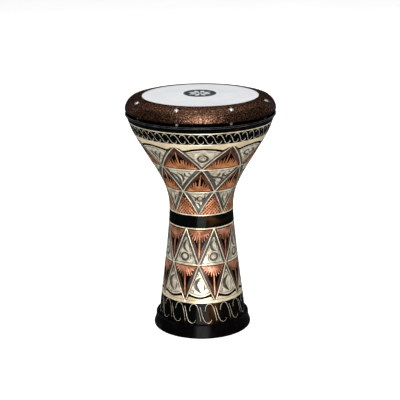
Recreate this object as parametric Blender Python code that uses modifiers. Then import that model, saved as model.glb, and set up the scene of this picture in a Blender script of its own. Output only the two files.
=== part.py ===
"""Darbuka: a goblet drum of cast aluminium with a screw-tensioned plastic head.

The drum stands on its foot ring. The origin is the centre of the foot ring's underside, on the
drum's axis, and +Z points up that axis. Sizes are in metres. Heights are measured from the floor.
"""

from math import cos, pi, radians, sin

import bmesh
import bpy
from mathutils import Matrix, Vector

# Driving dimensions
RIM_TOP = 0.4345
RIM_RADIUS = 0.1358
RIM_BOTTOM = 0.4088
LIP_RADIUS = 0.1045
BEARING_EDGE = 0.4327
COLLAR_OUTER = 0.1093
COLLAR_INNER = 0.1045
FLANGE_TOP = 0.4035
FLANGE_RADIUS = 0.1357
FOOT_RADIUS = 0.0906
FOOT_RING_HEIGHT = 0.0240
SHELL_BOTTOM = 0.0030
WALL = 0.0045
FIT_GAP = 0.0003

# Outside of the shell from the flange's lower edge to the foot, as (height, radius) stations
WALL_STATIONS = [
    (0.3985, 0.1332),
    (0.3713, 0.1227),
    (0.3338, 0.1013),
    (0.2910, 0.0762),
    (0.2611, 0.0634),
    (0.2300, 0.0587),
    (0.1733, 0.0625),
    (0.0877, 0.0725),
    (0.0480, 0.0775),
    (SHELL_BOTTOM, 0.0826),
]
STEPS_BETWEEN_STATIONS = 2

# Head
FILM_THICKNESS = 0.00025
FILM_HEIGHT = BEARING_EDGE + 0.0005
HOOP_INNER = 0.1104
HOOP_OUTER = 0.1144
HOOP_SHEET = 0.0008
HOOP_TOP = 0.4212
HOOP_BOTTOM = 0.4148

# M6 socket-head screws, eight on one circle, the front pair straddling -Y
BOLT_COUNT = 8
BOLT_CIRCLE = 0.1214
BOLT_FIRST_ANGLE = radians(-67.5)
THREAD_RADIUS = 0.0030
BOLT_LENGTH = 0.0350
HEAD_RADIUS = 0.0050
HEAD_HEIGHT = 0.0060
SOCKET_ACROSS_FLATS = 0.0050
SOCKET_DEPTH = 0.0030
SEAT_HEIGHT = 0.4246
WASHER_RADIUS = 0.0055
WASHER_THICKNESS = 0.0016
COUNTERBORE_RADIUS = 0.0058
BOSS_RADIUS = 0.0058
BOSS_BOTTOM = 0.3870

RING_STEPS = 48
SMALL_STEPS = 16


def clear_scene():
    for obj in list(bpy.data.objects):
        bpy.data.objects.remove(obj, do_unlink=True)


def new_collection(name):
    collection = bpy.data.collections.new(name)
    bpy.context.scene.collection.children.link(collection)
    return collection


def make_material(name, colour, roughness, metallic):
    material = bpy.data.materials.new(name)
    material.use_nodes = True
    shader = material.node_tree.nodes["Principled BSDF"]
    shader.inputs["Base Color"].default_value = (*colour, 1.0)
    shader.inputs["Roughness"].default_value = roughness
    shader.inputs["Metallic"].default_value = metallic
    material.diffuse_color = (*colour, 1.0)
    return material


def arc(centre, radii, start, end, steps):
    """Points of an elliptical arc in the (radius, height) plane, angles in degrees from +radius."""
    points = []
    for step in range(steps + 1):
        angle = radians(start + (end - start) * step / steps)
        points.append((centre[0] + radii[0] * cos(angle), centre[1] + radii[1] * sin(angle)))
    return points


def wall_slope(index):
    """Slope of the wall's radius over its height at one station, from its neighbours."""
    before = WALL_STATIONS[max(index - 1, 0)]
    after = WALL_STATIONS[min(index + 1, len(WALL_STATIONS) - 1)]
    return (after[1] - before[1]) / (after[0] - before[0])


def wall_radius(height):
    """Outer radius of the shell's wall at a height, a cubic curve through the stations."""
    index = 0
    while index < len(WALL_STATIONS) - 2 and height < WALL_STATIONS[index + 1][0]:
        index += 1
    (top, radius_top), (low, radius_low) = WALL_STATIONS[index], WALL_STATIONS[index + 1]
    span = low - top
    t = (height - top) / span
    return (
        (2 * t**3 - 3 * t**2 + 1) * radius_top
        + (t**3 - 2 * t**2 + t) * span * wall_slope(index)
        + (3 * t**2 - 2 * t**3) * radius_low
        + (t**3 - t**2) * span * wall_slope(index + 1)
    )


def wall_outline(top, inset=0.0):
    """Points down the wall from a height to the foot, moved inwards by inset."""
    heights = [top]
    for (upper, _), (lower, _) in zip(WALL_STATIONS, WALL_STATIONS[1:]):
        for step in range(1, STEPS_BETWEEN_STATIONS + 1):
            height = upper + (lower - upper) * step / STEPS_BETWEEN_STATIONS
            if height < top - 0.005:
                heights.append(height)
    return [(wall_radius(height) - inset, height) for height in heights]


def turned(name, outline, material, collection, closed=True, steps=RING_STEPS, origin=(0, 0, 0)):
    """Turn an outline of (radius, height) points about the Z line through origin."""
    mesh = bpy.data.meshes.new(name)
    vertices = [(radius, 0.0, height - origin[2]) for radius, height in outline]
    edges = [(i, i + 1) for i in range(len(vertices) - 1)]
    if closed:
        edges.append((len(vertices) - 1, 0))
    mesh.from_pydata(vertices, edges, [])
    obj = bpy.data.objects.new(name, mesh)
    collection.objects.link(obj)
    obj.location = origin
    screw = obj.modifiers.new("Turn", "SCREW")
    screw.axis = "Z"
    screw.steps = steps
    screw.render_steps = steps
    screw.use_merge_vertices = True
    screw.merge_threshold = 0.0001
    screw.use_smooth_shade = False
    obj.data.materials.append(material)
    return obj


def cylinder(name, radius, bottom, top, centre, collection, sides=SMALL_STEPS):
    """A helper solid for a Boolean, standing on bottom over the point centre."""
    mesh = bpy.data.meshes.new(name)
    shape = bmesh.new()
    bmesh.ops.create_cone(
        shape,
        cap_ends=True,
        segments=sides,
        radius1=radius,
        radius2=radius,
        depth=top - bottom,
        matrix=Matrix.Translation((centre[0], centre[1], (top + bottom) / 2)),
    )
    shape.to_mesh(mesh)
    shape.free()
    obj = bpy.data.objects.new(name, mesh)
    obj.hide_render = True
    obj.display_type = "WIRE"
    collection.objects.link(obj)
    return obj


def combine(obj, operation, tool):
    boolean = obj.modifiers.new(tool.name, "BOOLEAN")
    boolean.operation = operation
    boolean.solver = "EXACT"
    boolean.object = tool


def bolt_angle(index):
    return BOLT_FIRST_ANGLE + index * 2 * pi / BOLT_COUNT


def bolt_point(index):
    angle = bolt_angle(index)
    return Vector((BOLT_CIRCLE * cos(angle), BOLT_CIRCLE * sin(angle), SEAT_HEIGHT))


def shell_outline():
    """The goblet's section: collar with its bearing edge, flange, bowl, waist and open stem."""
    under_flange = 0.0062
    bowl_top = 0.3880
    inner_wall = wall_outline(bowl_top, WALL)
    return [
        (0.1068, BEARING_EDGE),
        (0.1086, BEARING_EDGE - 0.0015),
        (COLLAR_OUTER, BEARING_EDGE - 0.0039),
        (COLLAR_OUTER, FLANGE_TOP + 0.0020),
        (COLLAR_OUTER + 0.0020, FLANGE_TOP),
        (FLANGE_RADIUS - 0.0008, FLANGE_TOP),
        (FLANGE_RADIUS, FLANGE_TOP - 0.0008),
        (FLANGE_RADIUS, FLANGE_TOP - 0.0026),
        *wall_outline(WALL_STATIONS[0][0]),
        *reversed(inner_wall),
        (COLLAR_INNER + 0.0020, FLANGE_TOP - under_flange - 0.0020),
        (COLLAR_INNER, FLANGE_TOP - under_flange),
        (COLLAR_INNER, BEARING_EDGE - 0.0021),
    ]


def make_shell(parts, helpers, material):
    """One casting: the turned goblet with eight drilled bosses under its flange."""
    shell = turned("shell", shell_outline(), material, parts)
    for index in range(BOLT_COUNT):
        centre = bolt_point(index)
        boss = cylinder(
            f"boss_{index + 1}", BOSS_RADIUS, BOSS_BOTTOM, FLANGE_TOP - 0.0040, centre, helpers
        )
        combine(shell, "UNION", boss)
    for index in range(BOLT_COUNT):
        hole = cylinder(
            f"shell_hole_{index + 1}",
            THREAD_RADIUS + FIT_GAP,
            BOSS_BOTTOM - 0.0050,
            FLANGE_TOP + 0.0050,
            bolt_point(index),
            helpers,
        )
        combine(shell, "DIFFERENCE", hole)
    return shell


def make_foot_ring(parts, material):
    """A moulded channel that grips the shell's lower edge inside and out."""
    channel_floor = SHELL_BOTTOM - FIT_GAP
    top_inner = wall_radius(FOOT_RING_HEIGHT) + FIT_GAP
    leg_top = 0.0120
    leg_inner = 0.0745
    outline = [
        (top_inner + 0.0009, FOOT_RING_HEIGHT),
        (0.0853, FOOT_RING_HEIGHT),
        (0.0862, FOOT_RING_HEIGHT - 0.0009),
        (0.0868, 0.0130),
        (FOOT_RADIUS, 0.0032),
        (FOOT_RADIUS - 0.0004, 0.0011),
        (FOOT_RADIUS - 0.0015, 0.0),
        (leg_inner + 0.0010, 0.0),
        (leg_inner, 0.0010),
        (leg_inner, leg_top),
        (wall_radius(leg_top) - WALL - FIT_GAP - 0.0002, leg_top),
        (wall_radius(SHELL_BOTTOM) - WALL - FIT_GAP, channel_floor),
        (wall_radius(SHELL_BOTTOM) + FIT_GAP, channel_floor),
        (wall_radius(0.0160) + FIT_GAP + 0.0001, 0.0160),
        (top_inner, FOOT_RING_HEIGHT - 0.0008),
    ]
    return turned("foot_ring", outline, material, parts)


def tension_ring_outline():
    """The rim's section: lip over the head, bolt shelf, cove, bulging outer wall and hollow underside."""
    shoulder_outer = 0.1148
    shoulder_inner = 0.1130
    web_bottom = 0.4145
    edge = 0.0026
    bulge = arc((0.1120, 0.4099), (0.0239, 0.0239), 51, 4, 5)
    lower_edge = arc((RIM_RADIUS - edge, RIM_BOTTOM + edge), (edge, edge), 4, -90, 3)
    return [
        (LIP_RADIUS + 0.0006, RIM_TOP - 0.0002),
        (LIP_RADIUS + 0.0022, RIM_TOP),
        (0.1130, 0.4336),
        (0.1245, 0.4306),
        (0.1257, 0.4291),
        *bulge[:-1],
        *lower_edge,
        (0.1298, RIM_BOTTOM),
        (0.1280, web_bottom),
        (shoulder_outer, web_bottom),
        (shoulder_outer, HOOP_TOP + FIT_GAP),
        (shoulder_inner, HOOP_TOP + FIT_GAP),
        (0.1120, 0.4250),
        (0.1116, 0.4320),
        (0.1099, FILM_HEIGHT + 0.0005),
        (LIP_RADIUS, FILM_HEIGHT + 0.0005),
        (LIP_RADIUS, RIM_TOP - 0.0005),
    ]


def make_tension_ring(parts, helpers, material):
    ring = turned("tension_ring", tension_ring_outline(), material, parts)
    seat = SEAT_HEIGHT - WASHER_THICKNESS - 2 * FIT_GAP
    for index in range(BOLT_COUNT):
        point = bolt_point(index)
        pocket = cylinder(
            f"counterbore_{index + 1}", COUNTERBORE_RADIUS, seat, RIM_TOP + 0.01, point, helpers
        )
        combine(ring, "DIFFERENCE", pocket)
        hole = cylinder(
            f"ring_hole_{index + 1}",
            THREAD_RADIUS + FIT_GAP,
            RIM_BOTTOM - 0.005,
            RIM_TOP + 0.005,
            point,
            helpers,
        )
        combine(ring, "DIFFERENCE", hole)
    return ring


def make_hoop(parts, material):
    """A folded aluminium channel, open at the top, that holds the film's edge."""
    outline = [
        (HOOP_OUTER - HOOP_SHEET, HOOP_TOP),
        (HOOP_OUTER, HOOP_TOP),
        (HOOP_OUTER, HOOP_BOTTOM),
        (HOOP_INNER, HOOP_BOTTOM),
        (HOOP_INNER, HOOP_TOP),
        (HOOP_INNER + HOOP_SHEET, HOOP_TOP),
        (HOOP_INNER + HOOP_SHEET, HOOP_BOTTOM + HOOP_SHEET),
        (HOOP_OUTER - HOOP_SHEET, HOOP_BOTTOM + HOOP_SHEET),
    ]
    return turned("drumhead_hoop", outline, material, parts)


def offset_line(points, distance):
    """The same open line moved sideways by distance, to the left of its direction."""
    moved = []
    for index, point in enumerate(points):
        before = Vector(points[max(index - 1, 0)])
        after = Vector(points[min(index + 1, len(points) - 1)])
        along = (after - before).normalized()
        moved.append((point[0] - along.y * distance, point[1] + along.x * distance))
    return moved


def make_film(parts, material):
    """The head: a flat disc whose formed collar drops over the bearing edge into the hoop."""
    collar = [
        (0.1064, FILM_HEIGHT),
        (0.1093, FILM_HEIGHT - 0.0011),
        (0.1105, FILM_HEIGHT - 0.0045),
        (0.1110, 0.4235),
        (0.1124, 0.4210),
        (0.1124, 0.4165),
    ]
    half = FILM_THICKNESS / 2
    outline = [
        (0.0, FILM_HEIGHT + half),
        *offset_line(collar, half),
        *reversed(offset_line(collar, -half)),
        (0.0, FILM_HEIGHT - half),
    ]
    return turned("drumhead_film", outline, material, parts, closed=False)


def make_bolt(index, parts, helpers, material):
    """An M6 socket-head screw, its origin on its own axis at the underside of the head."""
    point = bolt_point(index)
    top = SEAT_HEIGHT + HEAD_HEIGHT
    tip = SEAT_HEIGHT - BOLT_LENGTH
    outline = [
        (0.0, top),
        (HEAD_RADIUS - 0.0010, top),
        (HEAD_RADIUS, top - 0.0010),
        (HEAD_RADIUS, SEAT_HEIGHT),
        (THREAD_RADIUS, SEAT_HEIGHT),
        (THREAD_RADIUS, tip + 0.0010),
        (THREAD_RADIUS - 0.0010, tip),
        (0.0, tip),
    ]
    bolt = turned(
        f"tuning_bolt_{index + 1}",
        outline,
        material,
        parts,
        closed=False,
        steps=SMALL_STEPS,
        origin=point,
    )
    socket = cylinder(
        f"socket_{index + 1}",
        SOCKET_ACROSS_FLATS / 2 / cos(pi / 6),
        top - SOCKET_DEPTH,
        top + 0.002,
        point,
        helpers,
        sides=6,
    )
    combine(bolt, "DIFFERENCE", socket)
    return bolt


def make_washer(index, parts, material):
    point = bolt_point(index)
    top = SEAT_HEIGHT - FIT_GAP
    bottom = top - WASHER_THICKNESS
    outline = [
        (WASHER_RADIUS, top),
        (WASHER_RADIUS, bottom),
        (THREAD_RADIUS + FIT_GAP, bottom),
        (THREAD_RADIUS + FIT_GAP, top),
    ]
    return turned(
        f"washer_{index + 1}", outline, material, parts, steps=SMALL_STEPS, origin=point
    )


def main():
    clear_scene()
    parts = new_collection("darbuka")
    helpers = new_collection("cutters")
    lacquer = make_material("black lacquered aluminium", (0.02, 0.025, 0.022), 0.25, 0.3)
    rubber = make_material("moulded black foot ring", (0.015, 0.015, 0.016), 0.35, 0.0)
    hammertone = make_material("copper hammertone casting", (0.30, 0.17, 0.11), 0.35, 0.8)
    mylar = make_material("white drumhead film", (0.78, 0.78, 0.80), 0.35, 0.0)
    sheet = make_material("folded aluminium hoop", (0.70, 0.71, 0.72), 0.35, 1.0)
    steel = make_material("zinc plated steel", (0.66, 0.67, 0.68), 0.25, 1.0)
    make_shell(parts, helpers, lacquer)
    make_foot_ring(parts, rubber)
    make_tension_ring(parts, helpers, hammertone)
    make_hoop(parts, sheet)
    make_film(parts, mylar)
    for index in range(BOLT_COUNT):
        make_bolt(index, parts, helpers, steel)
        make_washer(index, parts, steel)


main()
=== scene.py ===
"""Looks of the darbuka: the engraved and lacquered shell, the hammertone rim, the head and screws.

Sizes are in metres in the frame of the CAD model. The engraving is drawn flat, as u (eighths of a
turn) against height, then laid on the shell's wall with its lines cut in as real V-grooves.
"""

from math import ceil, cos, hypot, pi, radians, sin

import bmesh
import bpy
import numpy as np
from mathutils import Matrix, Vector
from mathutils.geometry import delaunay_2d_cdt


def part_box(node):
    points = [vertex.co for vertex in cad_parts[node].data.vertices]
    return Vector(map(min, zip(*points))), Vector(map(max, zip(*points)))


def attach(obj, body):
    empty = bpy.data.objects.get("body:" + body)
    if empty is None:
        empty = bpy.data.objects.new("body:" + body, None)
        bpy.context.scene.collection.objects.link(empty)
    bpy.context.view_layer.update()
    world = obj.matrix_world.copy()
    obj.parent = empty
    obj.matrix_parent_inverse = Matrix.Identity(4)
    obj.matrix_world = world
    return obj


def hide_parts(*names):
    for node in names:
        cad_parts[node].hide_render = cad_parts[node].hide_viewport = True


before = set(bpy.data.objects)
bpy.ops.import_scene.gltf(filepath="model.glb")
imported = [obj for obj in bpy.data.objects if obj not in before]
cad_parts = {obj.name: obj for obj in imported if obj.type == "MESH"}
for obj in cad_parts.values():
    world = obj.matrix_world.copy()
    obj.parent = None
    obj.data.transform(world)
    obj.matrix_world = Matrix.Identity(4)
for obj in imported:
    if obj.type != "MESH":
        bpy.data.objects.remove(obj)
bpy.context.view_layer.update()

# ---------------------------------------------------------------- sizes taken from the CAD model

RIM_LOW, RIM_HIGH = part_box("tension_ring")
SHELL_LOW, SHELL_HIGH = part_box("shell")
FOOT_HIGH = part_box("foot_ring")[1]
FILM_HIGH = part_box("drumhead_film")[1]
HOOP_LOW, HOOP_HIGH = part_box("drumhead_hoop")
WASHER_LOW, WASHER_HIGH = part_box("washer_1")
SCREW_LOW, SCREW_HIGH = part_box("tuning_bolt_1")

RIM_TOP = RIM_HIGH.z
RIM_RADIUS = RIM_HIGH.x
FLANGE_RADIUS = SHELL_HIGH.x
BEARING_EDGE = SHELL_HIGH.z
SHELL_BOTTOM = SHELL_LOW.z
FOOT_TOP = FOOT_HIGH.z
FOOT_RADIUS = FOOT_HIGH.x
SCREW_TOP = SCREW_HIGH.z
SCREW_TIP = SCREW_LOW.z
SCREW_COUNT = 8
SCREW_CIRCLE = hypot((SCREW_LOW.x + SCREW_HIGH.x) / 2, (SCREW_LOW.y + SCREW_HIGH.y) / 2)
SCREW_HEAD_RADIUS = (SCREW_HIGH.x - SCREW_LOW.x) / 2
WASHER_RADIUS = (WASHER_HIGH.x - WASHER_LOW.x) / 2

# Sizes that no box shows, the same as in the CAD model
GAP = 0.0003  # between pieces that touch
SCREW_SEAT = WASHER_HIGH.z + GAP
THREAD_RADIUS = 0.0030
THREAD_PITCH = 0.0010  # the lift per turn of the screw joints
HOLE_RADIUS = 0.0033
FLANGE_TOP = 0.4035
WALL_TOP = 0.3985
WALL = 0.0045
COLLAR_OUTER, COLLAR_INNER = 0.1093, 0.1045
LIP_RADIUS = 0.1045
RIM_WEB = 0.4145
FILM_THICKNESS = 0.00025

# The wall's outside as (height, radius), as in the CAD model
WALL_STATIONS = [
    (WALL_TOP, 0.1332),
    (0.3713, 0.1227),
    (0.3338, 0.1013),
    (0.2910, 0.0762),
    (0.2611, 0.0634),
    (0.2300, 0.0587),
    (0.1733, 0.0625),
    (0.0877, 0.0725),
    (0.0480, 0.0775),
    (SHELL_BOTTOM, 0.0826),
]

# ---------------------------------------------------------------- the layout of the engraving

UNITS = 8
UNIT = 2 * pi / UNITS
ROPE_TOP = 0.3912
ROPE_BOTTOM = 0.3697
APEX_LINE = 0.3654
ROW_1 = 0.3181
ROW_2 = 0.2708
WAIST_TOP = 0.2258
WAIST_BOTTOM = 0.2008
ROW_3 = 0.1342
SCALLOP = 0.0775
LOW_APEX = 0.0655
BAND_BOTTOM = 0.0641
ROPES_PER_UNIT = 7
WAVES_PER_UNIT = 2

# How the hand-drawn layout wanders: (height, turn in degrees, share by which the front is spread)
WANDER = np.array([
    (0.0030, -5.8, -0.05),
    (0.0660, -5.8, -0.05),
    (ROW_3, -7.8, 0.00),
    (WAIST_BOTTOM, -5.4, 0.09),
    (WAIST_TOP, -8.0, 0.045),
    (ROW_2, -6.8, 0.10),
    (ROW_1, -1.9, 0.075),
    (APEX_LINE, -0.4, 0.12),
    (WALL_TOP, 0.0, 0.12),
])

# Material slots of the engraved wall
LACQUER, CUT, FIELD, COPPER, BROWN, GOUGE, BAND = range(7)

# Hatching as (pitch, width, material, depth)
FINE_HATCH = (0.0026, 0.0007, LACQUER, 0.00018)
GREY_HATCH = (0.0030, 0.0009, GOUGE, 0.00030)

LINE_WIDTH = 0.0014
LINE_DEPTH = 0.00035
# The mesh: columns in a unit, height of a row, longest edge of a line, radius at which it is laid flat
GRID_ACROSS = 16
GRID_STEP = 0.0040
LONGEST_EDGE = 0.0030
FLAT_RADIUS = 0.0900
CLOSE = 1e-7  # points of a flat mesh that are nearer than this are one point

ROUND_STEPS = 192  # round the drum
ON_AXIS = 0.00001  # stands in for a radius of zero where a turned surface closes


def wall_slope(index):
    before = WALL_STATIONS[max(index - 1, 0)]
    after = WALL_STATIONS[min(index + 1, len(WALL_STATIONS) - 1)]
    return (after[1] - before[1]) / (after[0] - before[0])


def wall_radius(height):
    """Outer radius of the wall at a height, the same cubic curve as the CAD model's."""
    index = 0
    while index < len(WALL_STATIONS) - 2 and height < WALL_STATIONS[index + 1][0]:
        index += 1
    (top, radius_top), (low, radius_low) = WALL_STATIONS[index], WALL_STATIONS[index + 1]
    span = low - top
    t = (height - top) / span
    return (
        (2 * t**3 - 3 * t**2 + 1) * radius_top
        + (t**3 - 2 * t**2 + t) * span * wall_slope(index)
        + (3 * t**2 - 2 * t**3) * radius_low
        + (t**3 - t**2) * span * wall_slope(index + 1)
    )


TABLE_HEIGHT = np.linspace(SHELL_BOTTOM, WALL_TOP, 800)
TABLE_RADIUS = np.array([wall_radius(height) for height in TABLE_HEIGHT])
TABLE_SLOPE = np.gradient(TABLE_RADIUS, TABLE_HEIGHT)


def radius_at(height):
    return np.interp(height, TABLE_HEIGHT, TABLE_RADIUS)


def slope_at(height):
    return np.interp(height, TABLE_HEIGHT, TABLE_SLOPE)


def surface_scale(height):
    """Metres on the wall per unit of u and per metre of height."""
    return UNIT * radius_at(height), np.sqrt(1 + slope_at(height) ** 2)


# ---------------------------------------------------------------- flat drawing


def curve(points, per_span=5):
    """A smooth line through the points (Catmull-Rom)."""
    points = np.array(points, float)
    padded = np.vstack([2 * points[0] - points[1], points, 2 * points[-1] - points[-2]])
    t = np.linspace(0, 1, per_span, endpoint=False)[:, None]
    spans = []
    for a, b, c, d in zip(padded, padded[1:], padded[2:], padded[3:]):
        spans.append(
            0.5 * (2 * b + (c - a) * t + (2 * a - 5 * b + 4 * c - d) * t**2
                   + (3 * b - a - 3 * c + d) * t**3)
        )
    return np.vstack([*spans, points[-1:]])


def divided(points, closed=False):
    """The same line with its long edges divided, so that it follows the curved wall."""
    points = np.array(points, float)
    ends = np.vstack([points[1:], points[:1]]) if closed else points[1:]
    line = []
    for start, end in zip(points, ends):
        across, up = surface_scale((start[1] + end[1]) / 2)
        length = hypot((end[0] - start[0]) * across, (end[1] - start[1]) * up)
        count = max(1, ceil(length / LONGEST_EDGE))
        line.append(start + (end - start) * np.arange(count)[:, None] / count)
    if not closed:
        line.append(points[-1:])
    return np.vstack(line)


def mirrored(points):
    """Points of the right half, from the edge to the middle, followed by their mirror image."""
    return [*points, *[(-x, height) for x, height in reversed(points[:-1])]]


def shifted(centre, points):
    return [(centre + x, height) for x, height in points]


def clipped(start, end, corners):
    """The piece of a straight line inside a convex outline of anticlockwise corners, or None."""
    start, end = np.array(start, float), np.array(end, float)
    low, high = 0.0, 1.0
    for a, b in zip(corners, corners[1:] + corners[:1]):
        inward = np.array([a[1] - b[1], b[0] - a[0]])
        begin = inward @ (start - a)
        change = inward @ (end - start)
        if abs(change) < 1e-12:
            if begin < 0:
                return None
            continue
        crossing = -begin / change
        if change > 0:
            low = max(low, crossing)
        else:
            high = min(high, crossing)
    if high - low < 0.02:
        return None
    return [start + (end - start) * low, start + (end - start) * high]


class Drawing:
    """Flat artwork: filled areas in painting order, and cuts with a V-shaped section."""

    def __init__(self, low=-0.02, high=1.02):
        self.low, self.high = low, high
        self.points, self.edges, self.areas, self.cuts = [], [], [], []

    def outside(self, line):
        return line[:, 0].max() < self.low or line[:, 0].min() > self.high

    def chain(self, line, closed):
        first = len(self.points)
        self.points.extend(map(tuple, line))
        self.edges.extend((first + i, first + i + 1) for i in range(len(line) - 1))
        if closed:
            self.edges.append((first + len(line) - 1, first))

    def area(self, outline, material):
        outline = divided(outline, closed=True)
        if not self.outside(outline):
            self.chain(outline, True)
            self.areas.append((outline, material))

    def cut(self, line, widths, material, depth=LINE_DEPTH):
        """A chiselled line. Widths are in metres, spread evenly along it."""
        line = divided(line)
        if self.outside(line):
            return
        at = np.linspace(0, 1, len(line))
        half = np.interp(at, np.linspace(0, 1, len(widths)), widths) / 2
        across, up = surface_scale(line[:, 1])
        along = np.gradient(line, axis=0) * np.column_stack([across, up])
        along /= np.maximum(np.linalg.norm(along, axis=1), 1e-12)[:, None]
        side = np.column_stack([-along[:, 1] / across, along[:, 0] / up]) * half[:, None]
        tip_start = line[0] - along[0] / (across[0], up[0]) * half[0]
        tip_end = line[-1] + along[-1] / (across[-1], up[-1]) * half[-1]
        outline = np.vstack([tip_end, (line + side)[::-1], tip_start, line - side])
        self.chain(outline, True)
        self.chain(line, False)
        self.areas.append((outline, material))
        self.cuts.append((line, half, depth * half / half.max()))

    def triangles(self, scale):
        """The points and triangles of a mesh that follows every line drawn, made at this scale."""
        points = [Vector(point) for point in np.array(self.points) * scale]
        found = delaunay_2d_cdt(points, self.edges, [], 0, CLOSE, True)
        return np.array([tuple(point) for point in found[0]]) / scale, np.array(found[2])


def mm(*values):
    return [value * 0.001 for value in values]


def placed(centre, points, scale=1.0):
    """Points in millimetres on the wall, about a centre in (u, height)."""
    across, up = surface_scale(centre[1])
    points = np.array(points, float) * 0.001 * scale
    return np.column_stack([centre[0] + points[:, 0] / across, centre[1] + points[:, 1] / up])


def circle(radius, start=0, end=360, steps=14, centre=(0, 0)):
    angles = np.radians(np.linspace(start, end, steps))
    return np.column_stack([centre[0] + radius * np.cos(angles), centre[1] + radius * np.sin(angles)])


class Triangle:
    """A triangle of the layout: x runs -1 to 1 along its base, y from 0 at the base to 1 at the tip."""

    def __init__(self, centre, base, tip):
        self.centre, self.base, self.tip = centre, base, tip

    def at(self, x, y):
        return np.array((self.centre + x / 2, self.base + y * (self.tip - self.base)))

    def line(self, points):
        return [self.at(x, y) for x, y in points]

    def middle(self, y):
        return self.at(0, y)


def hatch(drawing, triangle, side, inner, outer, chisel, slant, top=0.93):
    """Short chisel strokes across the border along one leg of a triangle."""
    pitch, width, material, depth = chisel
    leg = abs(triangle.tip - triangle.base) * 1.25
    count = int(leg / pitch)
    for i in range(1, count):
        y = top * i / count
        near, far = 1 - y - outer, max(1 - y - slant - inner, 0.004)
        if near <= 0.02 or far >= near:
            continue
        ends = [(side * near, y), (side * far, min(y + slant, 0.97))]
        drawing.cut(triangle.line(ends), [width * 0.6, width, width * 0.5], material, depth)


def copper_ground(drawing, triangle, border):
    drawing.area(triangle.line([(-1, 0), (1, 0), (0, 1)]), BROWN)
    inner = 1 - border
    drawing.area(triangle.line([(-inner + 0.03, 0.03), (inner - 0.03, 0.03), (0, inner)]), LACQUER)
    for side in (-1, 1):
        hatch(drawing, triangle, side, border * 0.92, 0.05, FINE_HATCH, 0.03)


def palmette(drawing, triangle, tips, root_share, plume, bend, heel, rng):
    """Copper petals fanning out of the base round one tall plume."""
    low, fill = heel
    left = [(-x, low + (y - low) * fill) for x, y in tips]
    mass = [*left, (0, left[-1][1] + 0.02), *[(-x, y) for x, y in reversed(left)]]
    drawing.area(triangle.line([(left[0][0] - 0.07, low), *mass, (0.07 - left[0][0], low)]), COPPER)
    for side in (-1, 1):
        for x, y in tips:
            x, y = x + rng.uniform(-0.02, 0.02), y * rng.uniform(0.92, 1.08)
            root = (side * x * root_share, low + 0.02)
            knee = (side * x * (root_share + 1) / 2 * 1.04, low + 0.02 + (y - low - 0.02) * 0.45)
            petal = curve([root, knee, (side * x, y)], 3)
            drawing.cut(triangle.line(petal), mm(1.6, 2.4, 2.3, 1.1), COPPER, 0.00042)
        for (x, y), (next_x, next_y) in zip(tips, tips[1:]):
            x, y = (x + next_x) / 2, (y + next_y) / 2
            seam = [(side * x * (root_share + 0.08), low + 0.03), (side * x, low + (y - low) * 0.80)]
            drawing.cut(triangle.line(seam), mm(0.3, 0.7, 1.0), BROWN, 0.00035)
    stem = [(0, low + 0.02), (bend * 0.3, plume * 0.4), (bend, plume * 0.75), (bend * 0.6, plume)]
    drawing.cut(triangle.line(curve(stem, 4)), mm(3.6, 3.0, 2.7, 2.3, 1.2), COPPER, 0.00045)


def silver_ground(drawing, triangle, border, inner_line):
    drawing.area(triangle.line([(-1, 0), (1, 0), (0, 1)]), FIELD)
    for side in (-1, 1):
        edge = [(side, 0), (0, 1), (0, 1 - border), (side * (1 - border), 0)]
        drawing.area(triangle.line(edge), GOUGE)
        hatch(drawing, triangle, side, border * 0.88, 0.05, GREY_HATCH, 0.02)
        if inner_line:
            ends = [(side * (1 - border - 0.10), 0.03), (side * 0.02, 0.98 - border - 0.06)]
            drawing.cut(triangle.line(ends), mm(0.7, 0.9, 0.7), GOUGE, 0.00025)


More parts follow.
